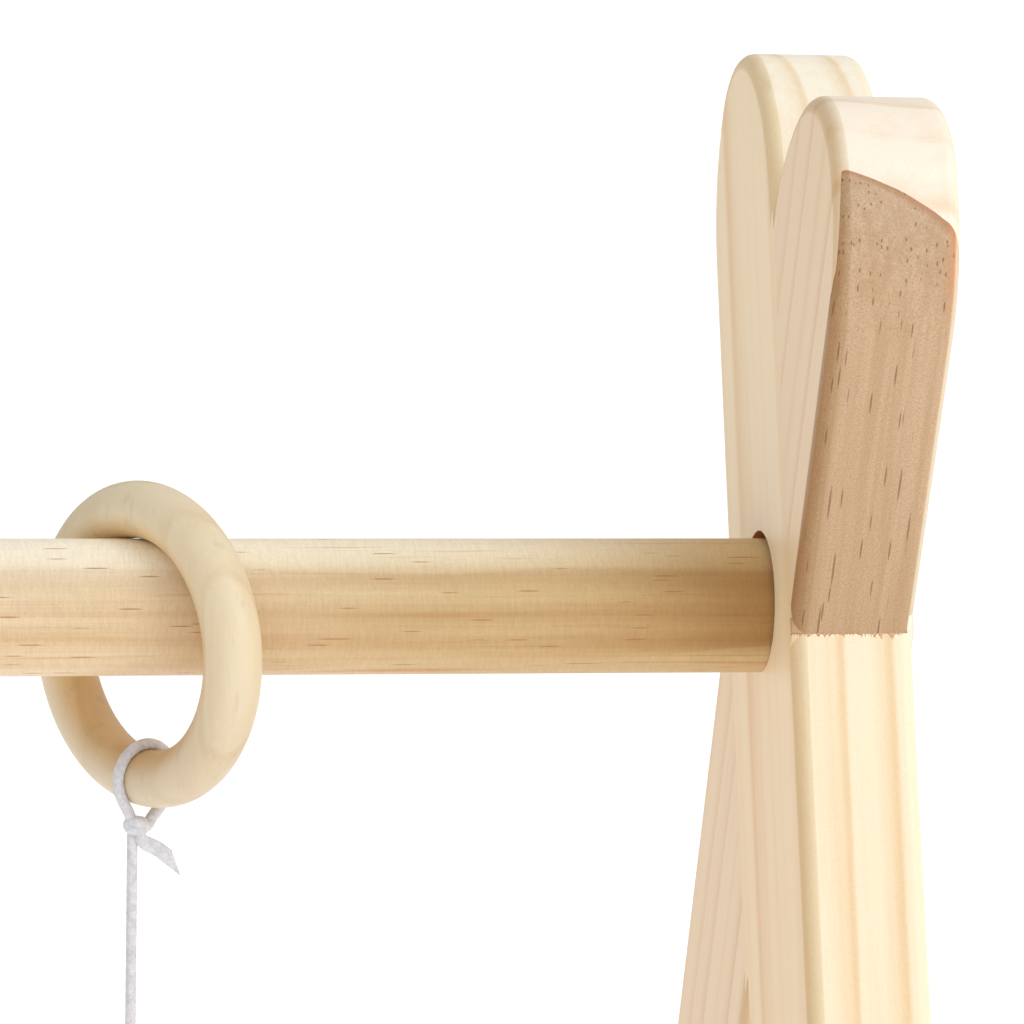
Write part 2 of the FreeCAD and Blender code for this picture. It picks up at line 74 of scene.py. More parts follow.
# ---------------------------------------------------------------- camera
def look(position, heading, pitch, roll, lens):
    """Camera at a place, headed clockwise from +Y, pitched down below the horizon, angles in degrees."""
    camera = bpy.data.objects.new("camera", bpy.data.cameras.new("camera"))
    bpy.context.scene.collection.objects.link(camera)
    camera.matrix_world = (Matrix.Translation(position)
                           @ Matrix.Rotation(math.radians(-heading), 4, "Z")
                           @ Matrix.Rotation(math.radians(90 - pitch), 4, "X")
                           @ Matrix.Rotation(math.radians(roll), 4, "Z"))
    camera.data.sensor_width = 36
    camera.data.lens = lens
    camera.data.clip_start = 0.05
    camera.data.clip_end = 200
    bpy.context.scene.camera = camera


CAMERA_OFFSET = Vector((-0.1616, -0.7133, 0.1258))  # from the right end's crossing
look(position=CROSSING[1] + CAMERA_OFFSET, heading=9.12, pitch=8.52, roll=1.41, lens=139.5)


# ---------------------------------------------------------------- node graph helper
MIX_FIRST, MIX_SECOND, MIX_RESULT = 6, 7, 2  # colour sockets of a Mix node


class Graph:
    """Short calls for building a material's node tree."""

    def __init__(self, name):
        self.material = bpy.data.materials.new(name)
        self.material.use_nodes = True
        self.tree = self.material.node_tree
        self.shader = self.tree.nodes["Principled BSDF"]

    def feed(self, socket, value):
        if isinstance(value, bpy.types.NodeSocket):
            self.tree.links.new(value, socket)
        else:
            socket.default_value = value

    def node(self, kind, **settings):
        made = self.tree.nodes.new(f"ShaderNode{kind}")
        for key, value in settings.items():
            setattr(made, key, value)
        return made

    def place(self):
        return self.node("TexCoord").outputs["Object"]

    def math(self, operation, first, second=0.0, third=0.0, clamp=False):
        made = self.node("Math", operation=operation, use_clamp=clamp)
        for socket, value in zip(made.inputs, (first, second, third)):
            self.feed(socket, value)
        return made.outputs[0]

    def times(self, first, second):
        return self.math("MULTIPLY", first, second)

    def rest(self, value):
        """What a value leaves of one."""
        return self.math("SUBTRACT", 1.0, value)

    def centred(self, noise, amount):
        """A 0..1 noise turned into a swing of plus or minus half the amount."""
        return self.times(self.math("SUBTRACT", noise, 0.5), amount)

    def above(self, value, limit):
        return self.math("GREATER_THAN", value, limit)

    def below(self, value, limit):
        return self.math("LESS_THAN", value, limit)

    def vector(self, operation, first, second=(0, 0, 0)):
        made = self.node("VectorMath", operation=operation)
        self.feed(made.inputs[0], first)
        self.feed(made.inputs[1], second)
        return made.outputs["Value" if operation == "LENGTH" else "Vector"]

    def turn(self, vector, axis, angle):
        made = self.node("VectorRotate", rotation_type="AXIS_ANGLE")
        self.feed(made.inputs["Vector"], vector)
        made.inputs["Axis"].default_value = axis
        made.inputs["Angle"].default_value = angle
        return made.outputs["Vector"]

    def split(self, vector):
        made = self.node("SeparateXYZ")
        self.feed(made.inputs[0], vector)
        return made.outputs["X"], made.outputs["Y"], made.outputs["Z"]

    def join(self, x, y, z):
        made = self.node("CombineXYZ")
        for socket, value in zip(made.inputs, (x, y, z)):
            self.feed(socket, value)
        return made.outputs[0]

    def noise(self, vector, scale=1.0, detail=2.0, roughness=0.5):
        made = self.node("TexNoise")
        self.feed(made.inputs["Vector"], vector)
        made.inputs["Scale"].default_value = scale
        made.inputs["Detail"].default_value = detail
        made.inputs["Roughness"].default_value = roughness
        return made.outputs["Fac"]

    def smooth(self, value, low, high):
        made = self.node("MapRange", interpolation_type="SMOOTHSTEP")
        self.feed(made.inputs["Value"], value)
        self.feed(made.inputs["From Min"], low)
        self.feed(made.inputs["From Max"], high)
        return made.outputs["Result"]

    def ramp(self, factor, stops):
        made = self.node("ValToRGB")
        self.feed(made.inputs["Fac"], factor)
        elements = made.color_ramp.elements
        while len(elements) < len(stops):
            elements.new(0.5)
        for element, (position, level) in zip(elements, stops):
            element.position = position
            element.color = (level, level, level, 1)
        return made.outputs["Color"]

    def mix(self, factor, first, second, blend="MIX"):
        made = self.node("Mix", data_type="RGBA", blend_type=blend)
        self.feed(made.inputs["Factor"], factor)
        for index, value in ((MIX_FIRST, first), (MIX_SECOND, second)):
            if isinstance(value, tuple):
                value = (*value, 1.0)
            self.feed(made.inputs[index], value)
        return made.outputs[MIX_RESULT]

    def tint(self, amount, colour, factor):
        """The colour times a factor for each channel, as far as the amount says."""
        return self.mix(amount, colour, self.mix(1.0, colour, factor, "MULTIPLY"))

    def shaded(self, colour, texture, amount):
        """The colour made lighter and darker by a 0..1 texture."""
        shade = self.math("ADD", self.centred(texture, amount), 1.0)
        return self.mix(1.0, colour, self.join(shade, shade, shade), "MULTIPLY")

    def bump(self, height, strength, distance):
        made = self.node("Bump")
        made.inputs["Strength"].default_value = strength
        made.inputs["Distance"].default_value = distance
        self.feed(made.inputs["Height"], height)
        self.feed(self.shader.inputs["Normal"], made.outputs["Normal"])

    def finish(self, color, roughness, **uniform):
        self.feed(self.shader.inputs["Base Color"], color)
        self.feed(self.shader.inputs["Roughness"], roughness)
        for name, value in uniform.items():
            self.shader.inputs[name.replace("_", " ")].default_value = value
        return self.material


def srgb(red, green, blue):
    """Linear colour of an sRGB triple in 0..255."""
    return tuple(((c / 255 + 0.055) / 1.055) ** 2.4 if c > 10 else c / 255 / 12.92
                 for c in (red, green, blue))


# ---------------------------------------------------------------- wood
# Textures of wood are laid out in millimetres of a piece's own stock.  A board's stock has x through
# its thickness from the inner face, y across it with the front negative, and z from the crossing up
# to the ear.
BOARD_HALF, BOARD_THICK, ROUNDING = 26.0, 22.5, 2.75  # half width, thickness, radius of the edges
EAR_DEPTH = 34.0  # length of the arch at the top of a board
EAR_BACK, EAR_FRONT = 107.0, 101.5  # crossing to tip: the inner board's ear behind, the outer's in front
VALLEY = -9.95  # where the ear of the other board springs, along a board from the crossing
SOCKET_RADIUS, SOCKET_RISE = 13.25, 1.0  # the socket's middle is about this far above the bar's axis
MARGIN = 0.12  # between a face and the edge of a painted zone

PINE_PALE, PINE_LATE = srgb(253, 238, 208), srgb(238, 207, 160)
PINK_PALE, PINK_LATE = srgb(254, 241, 222), srgb(240, 212, 182)
# colour of the painted highlight on the rounded outer edges
EDGE_PAINTED_HIGHLIGHT = srgb(247, 236, 204)
SOCKET_ORANGE = srgb(222, 146, 82)
RESIN = (0.22, 0.10, 0.04)


def stock(origin, turns, along_x=False):
    """Millimetre coordinates of a piece's own stock, grain along the last one, for a given graph."""
    def place(graph):
        spot = graph.vector("SUBTRACT", graph.place(), tuple(origin))
        for axis, angle in turns:
            spot = graph.turn(spot, axis, angle)
        scaled = graph.node("VectorMath", operation="SCALE")
        graph.feed(scaled.inputs[0], spot)
        scaled.inputs["Scale"].default_value = 1 / MM
        x, y, z = graph.split(scaled.outputs[0])
        return (y, z, x) if along_x else (x, y, z)
    return place


def stretched(graph, place, across, along, shift=0.0):
    """Texture place with the grain drawn out: across and along are features per millimetre."""
    x, y, z = place
    return graph.join(graph.times(x, across), graph.times(y, across),
                      graph.math("MULTIPLY_ADD", z, along, shift))


def paced(graph, place, rates):
    """Texture place with its own features per millimetre along each of the three coordinates."""
    return graph.join(*(graph.times(value, rate) for value, rate in zip(place, rates)))


def growth_layers(graph, place, pith, spacing, wander, shift):
    """Pale early wood that darkens towards the end of each yearly layer round the pith."""
    x, y = place[:2]
    bend = graph.centred(graph.noise(stretched(graph, place, 0.035, 0.0045, shift), 1.0, 2.0), wander)
    away = graph.join(graph.math("SUBTRACT", x, pith[0]), graph.math("SUBTRACT", y, pith[1]), 0.0)
    layer = graph.math("DIVIDE", graph.math("ADD", graph.vector("LENGTH", away), bend), spacing)
    uneven = graph.noise(graph.join(graph.math("FLOOR", layer), shift + 3.3, 0.0), 7.31, 0.0)
    band = graph.ramp(graph.math("FRACT", layer), [(0.0, 0.40), (0.06, 0.0), (0.50, 0.08), (0.78, 0.50),
                                                   (0.90, 1.0), (0.96, 0.85), (1.0, 0.45)])
    return graph.times(band, graph.math("MULTIPLY_ADD", uneven, 1.5, 0.1))


def log_tone(spacing, pith, wander=9.6, contrast=0.6, lines=0.4, shift=0.0):
    """Tone of wood cut from a log: growth layers round the pith, and straight lines of fibre.

    pith is where the log's middle is in the stock's x and y, spacing the width of a layer, wander
    the range over which a layer strays, and shift picks another part of the log.
    """
    def tone(graph, place):
        layers = graph.times(growth_layers(graph, place, pith, spacing, wander, shift), contrast)
        thin = graph.noise(stretched(graph, place, 0.85, 0.010, shift), 1.0, 3.0, 0.6)
        broad = graph.noise(stretched(graph, place, 0.16, 0.006, shift + 5.0), 1.0, 2.0)
        lined = graph.math("ADD", layers, graph.centred(thin, lines))
        return graph.math("ADD", lined, graph.centred(broad, 0.9))
    return tone


def resin_dashes(graph, place, share, shift, across=1.1, along=0.09, girth=0.24):
    """Short dark resin canals lying along the grain; share of the cells that hold one."""
    cells = graph.node("TexVoronoi")
    graph.feed(cells.inputs["Vector"], stretched(graph, place, across, along, shift))
    cells.inputs["Scale"].default_value = 1.0
    dash = graph.rest(graph.smooth(cells.outputs["Distance"], girth * 0.55, girth))
    return graph.times(dash, graph.above(graph.split(cells.outputs["Color"])[0], 1.0 - share))


def wood(name, place, pale, late, tone, fibres=0.35, speckle=0.26, roughness=0.45, extra=None):
    """Wood of two colours: tone says how much of the late one shows, fibres and speckle vary it.

    place gives (x, y, z) in millimetres with the grain along z.  tone gets the graph and that
    place, and extra gets the colour so far as well and may repaint it.
    """
    graph = Graph(name)
    spot = place(graph)
    fibre = graph.noise(stretched(graph, spot, 2.6, 0.11), 1.0, 3.0, 0.65)
    depth = graph.math("ADD", tone(graph, spot), graph.centred(fibre, fibres), clamp=True)
    colour = graph.mix(depth, pale, late)
    if extra:
        colour = extra(graph, spot, colour)
    grit = graph.noise(stretched(graph, spot, 2.4, 1.5), 1.6, 3.0, 0.75)
    colour = graph.shaded(colour, grit, speckle)
    graph.bump(graph.math("ADD", graph.times(fibre, 0.6), graph.times(grit, 0.4)), 0.25, 0.10 * MM)
    sheen = graph.math("MULTIPLY_ADD", fibre, 0.12, roughness - 0.06)
    return graph.finish(colour, sheen, Specular_IOR_Level=0.35)


def paint(node, material):
    """Gives a CAD node one material all over."""
    mesh = nodes[node].data
    mesh.materials.clear()
    mesh.materials.append(material)
    for polygon in mesh.polygons:
        polygon.material_index = 0


# ---------------------------------------------------------------- boards
def edges_painted_shade_and_highlight(graph, place, colour, ear_length, lean, inner_face_shade, rim):
    """Painted shade on the inner face and the rounded inner edges, the outer face tinted, and a painted
    highlight on the rounded outer edges.

    No edge is rounded where the other board crosses.  rim is how far through the thickness the painted
    highlight on the outer edge begins.
    """
    x, y, z = place
    into_ear = graph.times(graph.math("MAXIMUM", graph.math("SUBTRACT", z, ear_length - EAR_DEPTH), 0.0),
                           BOARD_HALF / EAR_DEPTH)
    depth = graph.math("SUBTRACT", BOARD_HALF, graph.vector("LENGTH", graph.join(y, into_ear, 0.0)))
    ring = graph.rest(graph.smooth(depth, ROUNDING - 0.35, ROUNDING + 0.15))
    across = graph.math("ADD", graph.times(y, math.cos(2 * LEG_TILT)),
                        graph.times(z, lean * math.sin(2 * LEG_TILT)))
    ring = graph.times(ring, graph.above(graph.math("ABSOLUTE", across), BOARD_HALF))
    # painted shade: the inner face made darker and warmer, as in the dim light on that side
    colour = graph.tint(graph.rest(graph.smooth(x, 0.4, ROUNDING)), colour, inner_face_shade)
    outer_face = graph.smooth(x, BOARD_THICK - 0.25, BOARD_THICK - 0.05)
    colour = graph.tint(outer_face, colour, (0.84, 0.775, 0.68))
    # painted shade: the rounded inner edges darker than both faces
    inner = graph.rest(graph.smooth(x, ROUNDING - 0.35, ROUNDING + 0.15))
    colour = graph.tint(graph.times(ring, inner), colour, (0.88, 0.85, 0.77))
    # painted highlight: the rounded outer edges paler, as lit by the lamp on the right
    outer = graph.smooth(x, rim - 0.2, rim + 0.4)
    return graph.mix(graph.times(graph.times(ring, outer), 0.5), colour, EDGE_PAINTED_HIGHLIGHT)


def height_above_crossing(graph, place, lean):
    y, z = place[1:]
    return graph.math("SUBTRACT", graph.times(z, math.cos(LEG_TILT)),
                      graph.times(y, lean * math.sin(LEG_TILT)))


HEART, HEART_LINE, HEART_SPECK = srgb(210, 180, 147), srgb(195, 162, 126), srgb(178, 141, 105)
HEART_BURN, HEART_RUST, HEART_RESIN = srgb(174, 116, 78), srgb(206, 138, 92), srgb(128, 84, 52)
HEART_EDGE, HEART_SLANT, HEART_BOW = -13.8, -0.2, -0.0058  # y at the ear: at x = 0, then per x and x squared
HEART_EDGE_LOW = -22.6  # y down the leg and along the inner face
EAR_END, LEG_START = 84.0, 72.0  # z between which the edge moves from the ear's place to the leg's


def heart_depth(graph, place):
    """How far a place is into the heartwood under the front edge of the outer board."""
    x, y, z = place
    bow = graph.times(graph.times(x, x), HEART_BOW)
    in_ear = graph.math("ADD", graph.math("MULTIPLY_ADD", x, HEART_SLANT, HEART_EDGE), bow)
    low = graph.math("MAXIMUM", graph.smooth(z, EAR_END, LEG_START), graph.rest(graph.smooth(x, 0.3, 1.5)))
    edge = graph.math("ADD", graph.times(in_ear, graph.rest(low)), graph.times(low, HEART_EDGE_LOW))
    ripple = graph.noise(paced(graph, place, (0.10, 0.0, 0.03)), 1.0, 2.0)
    return graph.math("SUBTRACT", graph.math("ADD", edge, graph.centred(ripple, 0.6)), y)


def heart_wood(graph, place, depth):
    """Colour of the heartwood: lighter at the top, burnt where it starts, dotted with resin."""
    x, z = place[0], place[2]
    lines = graph.noise(stretched(graph, place, 0.6, 0.02, 8.0), 1.0, 3.0, 0.6)
    speck = graph.noise(stretched(graph, place, 2.2, 2.0), 1.5, 4.0, 0.8)
    base = graph.mix(graph.smooth(lines, 0.3, 0.7), HEART, HEART_LINE)
    base = graph.mix(graph.smooth(speck, 0.35, 0.72), base, HEART_SPECK)
    base = graph.tint(graph.smooth(z, 76.0, 92.0), base, (1.02, 1.06, 1.12))
    base = graph.tint(graph.smooth(z, 70.0, -10.0), base, (0.93, 0.90, 0.86))
    burn = graph.rest(graph.smooth(depth, 0.05, graph.math("MULTIPLY_ADD", x, 0.05, 0.7)))
    base = graph.mix(graph.times(burn, 0.62), base, HEART_BURN)
    rusty = graph.times(graph.smooth(x, 19.0, 21.3), graph.smooth(z, 66.0, 84.0))
    base = graph.mix(graph.times(rusty, 0.75), base, HEART_RUST)
    dots = resin_dashes(graph, place, 0.62, 2.2)
    long = resin_dashes(graph, place, 0.5, 31.0, across=0.8, along=0.045, girth=0.20)
    marks = graph.math("MAXIMUM", dots, graph.times(long, graph.smooth(z, 62.0, 40.0)))
    return graph.mix(graph.times(marks, 0.72), base, HEART_RESIN)


def heart_skin(graph, place, colour):
    """Heartwood above the crossing, except in the small corner where the rounded edge stops."""
    depth = heart_depth(graph, place)
    height = height_above_crossing(graph, place, -1)
    heart = graph.times(graph.smooth(depth, -0.06, 0.06), graph.above(height, -0.35))
    corner = graph.times(graph.above(place[0], BOARD_THICK - 1.2), graph.below(height, 3.0))
    heart = graph.times(heart, graph.rest(corner))
    return graph.mix(heart, colour, heart_wood(graph, place, depth))


CHIP_WOOD, CHIP_SHADE, CORNER_WOOD = srgb(212, 178, 142), srgb(176, 112, 74), srgb(201, 168, 132)


def torn_valley(graph, place, colour):
    """Chips of the other board's heartwood and a thin line where it springs from this edge."""
    x, y, z = place
    rough = graph.noise(graph.join(graph.times(x, 0.9), 0.0, 4.0), 1.0, 4.0, 0.7)
    lower = graph.math("MULTIPLY_ADD", graph.smooth(rough, 0.46, 0.70), -1.5, VALLEY - 0.10)
    rise = graph.math("SUBTRACT", z, lower)
    chips = graph.mix(graph.rest(graph.smooth(rise, 0.05, 0.45)), CHIP_WOOD, CHIP_SHADE)
    chips = graph.mix(graph.above(height_above_crossing(graph, place, 1), -0.2), chips, CORNER_WOOD)
    front = graph.times(graph.below(y, -BOARD_HALF + 1.2), graph.below(z, VALLEY + 3.0))
    return graph.mix(graph.times(graph.smooth(rise, -0.08, 0.08), front), colour, chips)


def pale_ear(graph, place, colour):
    """The ear is paler and pinker behind the rounded inner edge, and the leg darkens downwards."""
    x, z = place[0], place[2]
    ear = graph.times(graph.smooth(z, -12.0, 40.0), graph.smooth(x, 1.5, 4.0))
    colour = graph.tint(graph.smooth(z, 10.0, -60.0), colour, (0.985, 0.95, 0.93))
    return graph.tint(ear, colour, (1.02, 1.075, 1.19))


def bored_socket(graph, place, colour, lean):
    """End grain inside the bar's hole, darker and more orange than the face."""
    x, y, z = place
    centre_y = -lean * math.sin(LEG_TILT) * SOCKET_RISE
    centre_z = math.cos(LEG_TILT) * SOCKET_RISE
    away = graph.vector("LENGTH", graph.join(graph.math("SUBTRACT", y, centre_y),
                                             graph.math("SUBTRACT", z, centre_z), 0.0))
    inside = graph.times(graph.below(away, SOCKET_RADIUS + MARGIN), graph.above(x, MARGIN))
    return graph.mix(inside, colour, SOCKET_ORANGE)


def inner_board(graph, place, colour):
    """The board that is whole inside and holds the bar."""
    colour = torn_valley(graph, place, pale_ear(graph, place, colour))
    return edges_painted_shade_and_highlight(graph, place, bored_socket(graph, place, colour, 1), EAR_BACK, 1,
                        inner_face_shade=(0.93, 0.855, 0.77), rim=BOARD_THICK - ROUNDING)


def outer_board(graph, place, colour):
    """The board that is whole outside, with heartwood on its front edge."""
    return edges_painted_shade_and_highlight(graph, place, heart_skin(graph, place, colour), EAR_FRONT, -1,
                        inner_face_shade=(0.87, 0.75, 0.60), rim=BOARD_THICK - 1.3)


def dashed_outer_board(graph, place, colour):
    """An outer board with resin canals all over."""
    dash = resin_dashes(graph, place, share=0.2, shift=17.9)
    return graph.mix(graph.times(dash, 0.7), outer_board(graph, place, colour), RESIN)


def board_place(side, lean):
    """Stock of a board: x through its thickness from the inner face, y across, z up to the ear."""
    turns = [((0, 0, 1), math.pi)] if side < 0 else []
    return stock(CROSSING[side], turns + [((1, 0, 0), lean * LEG_TILT)])


paint("leg_right_inner", wood("pine_right_inner", board_place(1, 1), PINE_PALE, PINE_LATE,
                              log_tone(9.2, (-91.9, -30), wander=2.4, contrast=0.7, shift=1.7),
                              extra=inner_board))
paint("leg_right_outer", wood("pine_right_outer", board_place(1, -1), PINK_PALE, PINK_LATE,
                              log_tone(9.4, (35, 120), wander=6.4, contrast=0.55, shift=5.1),
                              extra=outer_board))
paint("leg_left_inner", wood("pine_left_inner", board_place(-1, 1), PINE_PALE, PINE_LATE,
                             log_tone(8.2, (64, -50), shift=11.3), extra=inner_board))
paint("leg_left_outer", wood("pine_left_outer", board_place(-1, -1), PINE_PALE, PINE_LATE,
                             log_tone(8.8, (-80, 30), shift=17.9), extra=dashed_outer_board))


# ---------------------------------------------------------------- bar
BAR_DIAMETER = 25.0
# the third colour is a painted highlight: the bar's top paler, as lit from above
BAR_PALE, BAR_LATE, BAR_TOP_PAINTED_LIGHT = srgb(240, 222, 189), srgb(206, 168, 121), srgb(253, 242, 218)
SAPWOOD, SAPWOOD_STREAK = srgb(230, 207, 174), srgb(216, 172, 120)
BAR_HAIR, BAR_RESIN = srgb(200, 148, 88), srgb(166, 110, 64)
# The sapwood's upper edge: level up to SAP_LEVEL from the bar's middle, then rising, with a wave.
SAP_LEVEL, SAP_SLOPE, SAP_HEIGHT = 170.0, 0.037, -16.6
SAP_WAVE, SAP_WAVE_RATE, SAP_WAVE_PHASE = 0.8, 0.105, -21.5


def bar_tone(graph, place):
    """Soft bands of the dowel, one above another from its underside to its top."""
    z, x = place[1:]
    sway = graph.noise(graph.join(graph.times(x, 0.010), 0.0, 2.0), 1.0, 2.0)
    height = graph.math("ADD", z, graph.centred(sway, 7.0))
    band = graph.ramp(graph.math("MULTIPLY_ADD", height, 1 / BAR_DIAMETER, 0.5),
                      [(0.0, 0.45), (0.20, 0.50), (0.27, 0.62), (0.325, 0.74), (0.37, 0.52), (0.48, 0.44),
                       (0.53, 0.66), (0.585, 0.44), (0.70, 0.34), (0.77, 0.52), (0.81, 0.86), (0.84, 0.35),
                       (1.0, 0.15)])
    thin = graph.noise(stretched(graph, place, 0.7, 0.010), 1.0, 4.0, 0.6)
    broad = graph.noise(paced(graph, place, (0.1, 0.2, 0.02)), 1.0, 2.0)
    return graph.math("ADD", graph.math("ADD", band, graph.centred(thin, 0.7)), graph.centred(broad, 0.7),
                      clamp=True)


def bar_sapwood(graph, place, colour):
    """A paler tongue of sapwood underneath, its edge wavy."""
    z, x = place[1:]
    away = graph.math("ABSOLUTE", x)
    rise = graph.math("MULTIPLY_ADD", graph.math("MAXIMUM", away, SAP_LEVEL), SAP_SLOPE, SAP_HEIGHT)
    wave = graph.math("SINE", graph.math("MULTIPLY_ADD", away, SAP_WAVE_RATE, SAP_WAVE_PHASE))
    under = graph.math("SUBTRACT", graph.math("MULTIPLY_ADD", wave, SAP_WAVE, rise), z)
    streak = graph.noise(paced(graph, place, (0.0, 0.7, 0.015)), 1.0, 2.0)
    pale = graph.mix(graph.smooth(streak, 0.56, 0.74), SAPWOOD, SAPWOOD_STREAK)
    return graph.mix(graph.times(graph.smooth(under, -0.05, 0.45), 0.9), colour, pale)


def bar_surface(graph, place, colour):
    """A top painted paler as a painted highlight, sapwood, hair lines, brushing across the grain, ends
    darker from painted shade and darker wood, a painted shadow by the sockets, and resin dashes.
    """
    z, x = place[1:]
    # painted highlight: the top of the bar paler, as lit from above
    colour = graph.mix(graph.smooth(z, 5.0, 12.0), colour, BAR_TOP_PAINTED_LIGHT)
    colour = bar_sapwood(graph, place, colour)
    hair = graph.noise(stretched(graph, place, 0.9, 0.016), 1.3, 3.0, 0.6)
    colour = graph.mix(graph.times(graph.smooth(hair, 0.60, 0.76), 0.5), colour, BAR_HAIR)
    brushed = graph.noise(stretched(graph, place, 0.30, 2.0), 1.0, 3.0, 0.7)
    colour = graph.shaded(colour, brushed, 0.30)
    away = graph.math("ABSOLUTE", x)
    # painted shade from the legs near the bar's ends, together with darker wood there, less on the top
    end_shade_and_tone = graph.times(graph.smooth(away, 152.0, 232.0),
                       graph.math("MULTIPLY_ADD", graph.smooth(z, 6.0, 12.0), -0.6, 1.0))
    colour = graph.tint(end_shade_and_tone, colour, (0.79, 0.71, 0.55))
    # painted shadow beside the sockets, where the legs keep the light off the bar
    socket_painted_shadow = graph.times(graph.smooth(away, 222.0, 284.0), graph.smooth(z, -9.0, -4.0))
    colour = graph.tint(socket_painted_shadow, colour, (0.70, 0.55, 0.35))
    short = resin_dashes(graph, place, 0.62, 3.0, across=0.9, along=0.060, girth=0.17)
    long = resin_dashes(graph, place, 0.34, 14.0, across=0.6, along=0.025, girth=0.11)
    return graph.mix(graph.times(graph.math("MAXIMUM", short, long), 0.70), colour, BAR_RESIN)


BAR_PLACE = stock(Vector((0, 0, BAR_AXIS_Z)), [], along_x=True)
paint("hanging_bar", wood("pine_bar", BAR_PLACE, BAR_PALE, BAR_LATE, bar_tone, fibres=0.0, speckle=0.364,
                          roughness=0.5, extra=bar_surface))


# ---------------------------------------------------------------- turned pieces
TURNED_PALE, TURNED_LATE, TURNED_VEIN = srgb(231, 214, 182), srgb(212, 186, 144), srgb(206, 190, 166)
TURNED = [name for name in sorted(nodes)
          if name.startswith(("ring_", "bead_", "bell_", "toy_ring_", "cap_plug_"))]


def veins_and_painted_shade(graph, place, colour):
    """A hanging ring is veined, with painted shade making its lower half darker and painted warm shade round
    its inside.
    """
    x, y, z = place
    veins = graph.noise(stretched(graph, place, 0.30, 0.05, 3.0), 1.0, 3.0, 0.6)
    colour = graph.mix(graph.times(graph.smooth(veins, 0.60, 0.66), 0.35), colour, TURNED_VEIN)
    # painted shade: the lower half darker, as less light reaches it from below
    colour = graph.tint(graph.smooth(z, 6.0, -24.0), colour, (0.88, 0.87, 0.90))
    # painted warm shade round the inside, where the bar keeps light off
    away = graph.vector("LENGTH", graph.join(graph.times(x, 0.9), y, z))
    return graph.tint(graph.rest(graph.smooth(away, 20.5, 25.5)), colour, (0.92, 0.77, 0.56))


for count, name in enumerate(TURNED):
    yaw = RING_YAW.get(name.split("_")[-1], 0.0)
    upright = name.startswith("ring_")
    roll = 0.0 if upright else 0.5 + 0.37 * count
    grain = log_tone(9.0, (24, 11), wander=14.4, contrast=0.35, lines=0.35, shift=2.9 * count)
    paint(name, wood(f"turned_{name}", stock(middle(name), [((0, 0, 1), -yaw), ((1, 0, 0), roll)]),
                     TURNED_PALE, TURNED_LATE, grain, speckle=0.13, roughness=0.40,
                     extra=veins_and_painted_shade if upright else None))


# ---------------------------------------------------------------- metal and rubber
def plain(name, colour, roughness, metallic=0.0, grit=90.0, depth=0.04 * MM):
    """Metal or rubber with a faint mottle; grit is its features per metre."""
    graph = Graph(name)
    place = graph.place()
    mottle = graph.noise(place, grit, 4.0, 0.6)
    tone = graph.mix(graph.smooth(mottle, 0.3, 0.7), tuple(c * 0.86 for c in colour), colour)
    graph.bump(graph.noise(place, grit * 14, 3.0), 0.3, depth)
    graph.shader.inputs["Metallic"].default_value = metallic
    return graph.finish(tone, graph.math("MULTIPLY_ADD", mottle, 0.16, roughness - 0.08))


zinc = plain("zinc_plate", srgb(190, 192, 196), 0.34, metallic=1.0)
brass = plain("brass", srgb(204, 170, 96), 0.32, metallic=1.0)
rubber = plain("pale_rubber", srgb(214, 210, 200), 0.72, grit=220.0, depth=0.08 * MM)
for side in ("left", "right"):
    paint(f"bolt_{side}", zinc)
    paint(f"washer_{side}", zinc)
    paint(f"insert_{side}", brass)
    for board in ("inner", "outer"):
        paint(f"foot_pad_{side}_{board}", rubber)


# ---------------------------------------------------------------- cotton cord
COTTON_SHADE, COTTON_LIGHT, COTTON_FIBRE = srgb(206, 205, 210), srgb(229, 228, 232), srgb(180, 179, 188)


def cotton():
    """Braided cotton: soft patches of two lilac-white shades with faint greyer fibres over them."""
    graph = Graph("cotton_braid")
    place = graph.place()
    fibres = graph.noise(place, 3200.0, 4.0, 0.75)
    soft = graph.noise(place, 700.0, 3.0, 0.6)
    colour = graph.mix(graph.smooth(soft, 0.3, 0.7), COTTON_SHADE, COTTON_LIGHT)
    colour = graph.mix(graph.times(graph.smooth(fibres, 0.45, 0.70), 0.45), colour, COTTON_FIBRE)
    graph.bump(fibres, 0.5, 0.10 * MM)
    return graph.finish(colour, 0.88, Sheen_Weight=0.35, Sheen_Roughness=0.5, Specular_IOR_Level=0.2)


COTTON = cotton()
CORD_RADIUS = 1.0 * MM
STRANDS, BRAID_PITCH = 8, 5.2 * MM  # strands of the round braid, and one turn of them along the cord
AROUND = 24  # points of the mesh round a tube
SKIN_LOW, SKIN_RISE = 0.90, 0.12  # of the radius: the hollows of the braid, and its strands above them
UNDER = 0.45  # how much lower a strand lies where it passes under another
CUT_SHARE = 0.2  # of a tube's length, at its last end, over which a slanted cut grows


def along_route(points, step=0.16 * MM):
    """Evenly spaced points on the smooth NURBS line of a route."""
    curve = bpy.data.curves.new("route", "CURVE")
    curve.dimensions = "3D"
    curve.resolution_u = 24
    spline = curve.splines.new("NURBS")
    spline.points.add(len(points) - 1)
    for control, point in zip(spline.points, points):
        control.co = (*point, 1.0)
    spline.order_u = 3
    spline.use_endpoint_u = True
    carrier = bpy.data.objects.new("route", curve)
    bpy.context.scene.collection.objects.link(carrier)
    bpy.context.view_layer.update()
    line = bpy.data.meshes.new_from_object(carrier)
    fine = [vertex.co.copy() for vertex in line.vertices]
    bpy.data.objects.remove(carrier)
    bpy.data.meshes.remove(line)
    even, carry = [fine[0]], 0.0
    for here, there in zip(fine, fine[1:]):
        run = (there - here).length
        while carry + run >= step and run > 0:
            part = (step - carry) / run
            here = here.lerp(there, part)
            run = (there - here).length
            even.append(here)
            carry = 0.0
        carry += run
    even.append(fine[-1])
    return even


